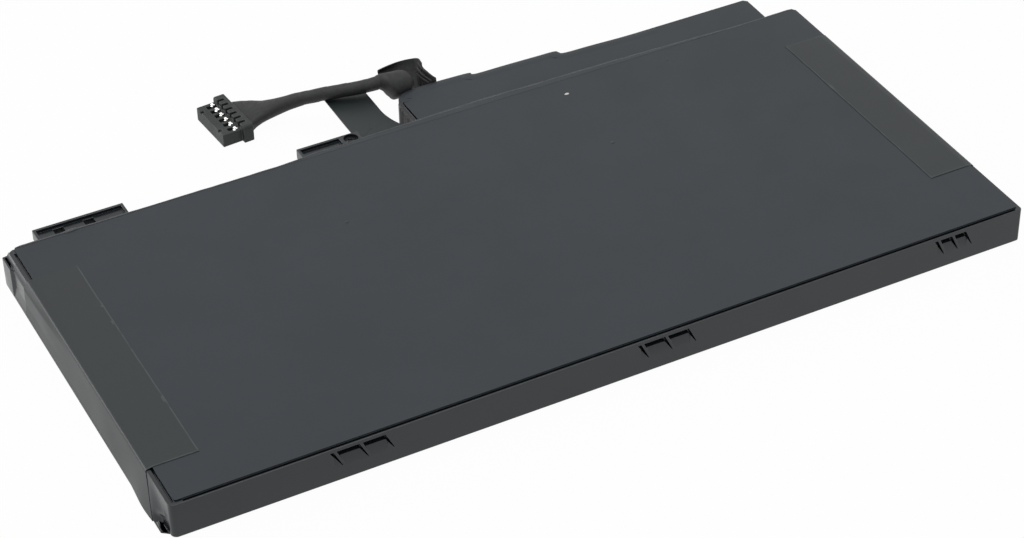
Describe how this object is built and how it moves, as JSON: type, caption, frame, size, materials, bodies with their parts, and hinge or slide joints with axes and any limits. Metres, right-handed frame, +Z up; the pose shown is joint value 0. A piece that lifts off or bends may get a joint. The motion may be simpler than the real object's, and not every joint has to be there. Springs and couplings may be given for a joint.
{
  "type": "laptop battery",
  "caption": "Flat internal notebook battery pack: a moulded tray of pouch cells under thin covers, with a rear board bay, mounting ears, a pull tab and a taped lead with a plug.",
  "frame": {"origin": "under the middle of the pack, on its underside, measured without the lead", "axes": "+X along the long side towards the plain end, +Y towards the board bay and the lead, +Z up out of the top cover"},
  "size_m": [0.2378, 0.1567, 0.0134],
  "materials": {
    "tray_plastic": "fine moulded texture, satin",
    "cover_film": "satin film with a fine grain",
    "end_tape": "satin tape",
    "pull_film": "satin film",
    "cell_pouch": "matt laminated foil",
    "cell_glue": "double-sided foam tape",
    "aluminium_tab": "rolled",
    "nickel_tab": "nickel plated",
    "flex_film": "amber film",
    "insulation": "thin insulating paper",
    "board": "solder-masked laminate",
    "chip": "moulded epoxy",
    "ceramic_part": "fired",
    "wire_jacket": "smooth jacket",
    "lead_tape": "dark wrapping tape",
    "plug_plastic": "moulded, satin",
    "contact_metal": "tin plated"
  },
  "bodies": {
    "root": {"frame": "tray_plastic", "top_cover": "cover_film", "bottom_cover": "cover_film", "bay_cover": "cover_film", "interconnect_flex": "flex_film", "tab_insulation": "insulation", "circuit_board": "board", "charge_switch": "chip", "discharge_switch": "chip", "controller_chip": "chip", "sense_resistor": "ceramic_part", "safety_fuse": "chip", "filter_capacitor": "ceramic_part", "thermistor": "ceramic_part", "end_tape_left": "end_tape", "end_tape_right": "end_tape", "pull_tab": "pull_film", "cable_wrap": "lead_tape", "cable": "lead_tape", "cable_fanout": "lead_tape", "connector_housing": "plug_plastic", "cell_1": "cell_pouch", "cell_adhesive_1": "cell_glue", "positive_tab_1": "aluminium_tab", "negative_tab_1": "nickel_tab", "lead_wire_1": "wire_jacket", "contact_1": "contact_metal", "cell_2": "cell_pouch", "cell_adhesive_2": "cell_glue", "positive_tab_2": "aluminium_tab", "negative_tab_2": "nickel_tab", "lead_wire_2": "wire_jacket", "contact_2": "contact_metal", "cell_3": "cell_pouch", "cell_adhesive_3": "cell_glue", "positive_tab_3": "aluminium_tab", "negative_tab_3": "nickel_tab", "lead_wire_3": "wire_jacket", "contact_3": "contact_metal", "cell_4": "cell_pouch", "cell_adhesive_4": "cell_glue", "positive_tab_4": "aluminium_tab", "negative_tab_4": "nickel_tab", "lead_wire_4": "wire_jacket", "contact_4": "contact_metal", "cell_5": "cell_pouch", "cell_adhesive_5": "cell_glue", "positive_tab_5": "aluminium_tab", "negative_tab_5": "nickel_tab", "lead_wire_5": "wire_jacket", "contact_5": "contact_metal", "cell_6": "cell_pouch", "cell_adhesive_6": "cell_glue", "positive_tab_6": "aluminium_tab", "negative_tab_6": "nickel_tab", "lead_wire_6": "wire_jacket", "contact_6": "contact_metal"}
  },
  "joints": []
}
